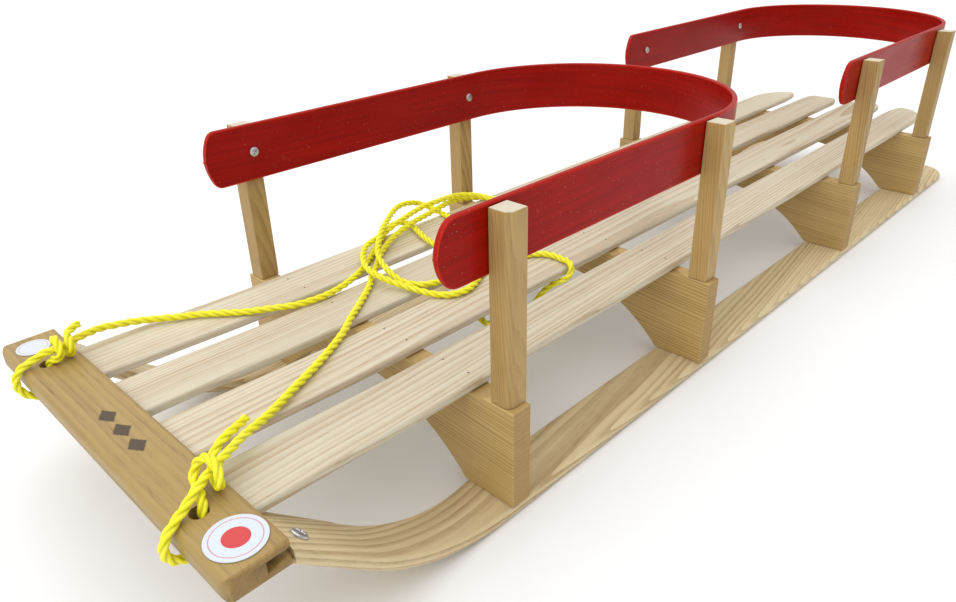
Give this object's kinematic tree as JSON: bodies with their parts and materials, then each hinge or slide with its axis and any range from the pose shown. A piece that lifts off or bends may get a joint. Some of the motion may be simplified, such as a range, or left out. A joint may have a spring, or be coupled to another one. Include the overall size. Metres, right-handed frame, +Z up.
{
  "type": "wooden sleigh",
  "caption": "Bentwood-runner wooden sleigh for children: slatted deck, arched bridges, U-shaped red seat bands on square posts and a yellow tow rope.",
  "frame": {"origin": "on the ground, at the centre of the bounding box without the rope", "axes": "+Z up, +Y towards the runner tails, -Y towards the curled front and crossbar, +X to a rider's right"},
  "size_m": [0.35, 1.3248, 0.2543],
  "materials": {
    "deck_wood": "clear varnish, pale ash",
    "bridge_wood": "clear varnish, honey",
    "post_wood": "clear varnish, tan",
    "runner_wood": "clear varnish, tan",
    "crossbar_wood": "clear varnish, honey",
    "red_paint": "gloss red paint on bent wood",
    "plated_steel": "zinc plated",
    "label_paper": "printed vinyl",
    "rope_fibre": "twisted yellow polypropylene"
  },
  "bodies": {
    "root": {"crossbar": "crossbar_wood", "label_left": "label_paper", "label_right": "label_paper", "runner_left": "runner_wood", "runner_bolt_left": "plated_steel", "runner_nut_left": "plated_steel", "runner_right": "runner_wood", "runner_bolt_right": "plated_steel", "runner_nut_right": "plated_steel", "bridge_1": "bridge_wood", "slat_1": "deck_wood", "post_1_left": "post_wood", "band_screw_1_left": "plated_steel", "foot_screw_1_left": "plated_steel", "post_1_right": "post_wood", "band_screw_1_right": "plated_steel", "foot_screw_1_right": "plated_steel", "bridge_2": "bridge_wood", "slat_2": "deck_wood", "post_2_left": "post_wood", "band_screw_2_left": "plated_steel", "foot_screw_2_left": "plated_steel", "post_2_right": "post_wood", "band_screw_2_right": "plated_steel", "foot_screw_2_right": "plated_steel", "bridge_3": "bridge_wood", "slat_3": "deck_wood", "post_3_left": "post_wood", "band_screw_3_left": "plated_steel", "foot_screw_3_left": "plated_steel", "post_3_right": "post_wood", "band_screw_3_right": "plated_steel", "foot_screw_3_right": "plated_steel", "bridge_4": "bridge_wood", "slat_4": "deck_wood", "post_4_left": "post_wood", "band_screw_4_left": "plated_steel", "foot_screw_4_left": "plated_steel", "post_4_right": "post_wood", "band_screw_4_right": "plated_steel", "foot_screw_4_right": "plated_steel", "seat_band_front": "red_paint", "seat_band_rear": "red_paint", "rope_hitch_left": "rope_fibre", "rope_leg_left": "rope_fibre", "rope_arch": "rope_fibre", "rope_under_slat": "rope_fibre", "rope_double_loop": "rope_fibre", "rope_leg_right": "rope_fibre", "rope_hitch_right": "rope_fibre"}
  },
  "joints": []
}
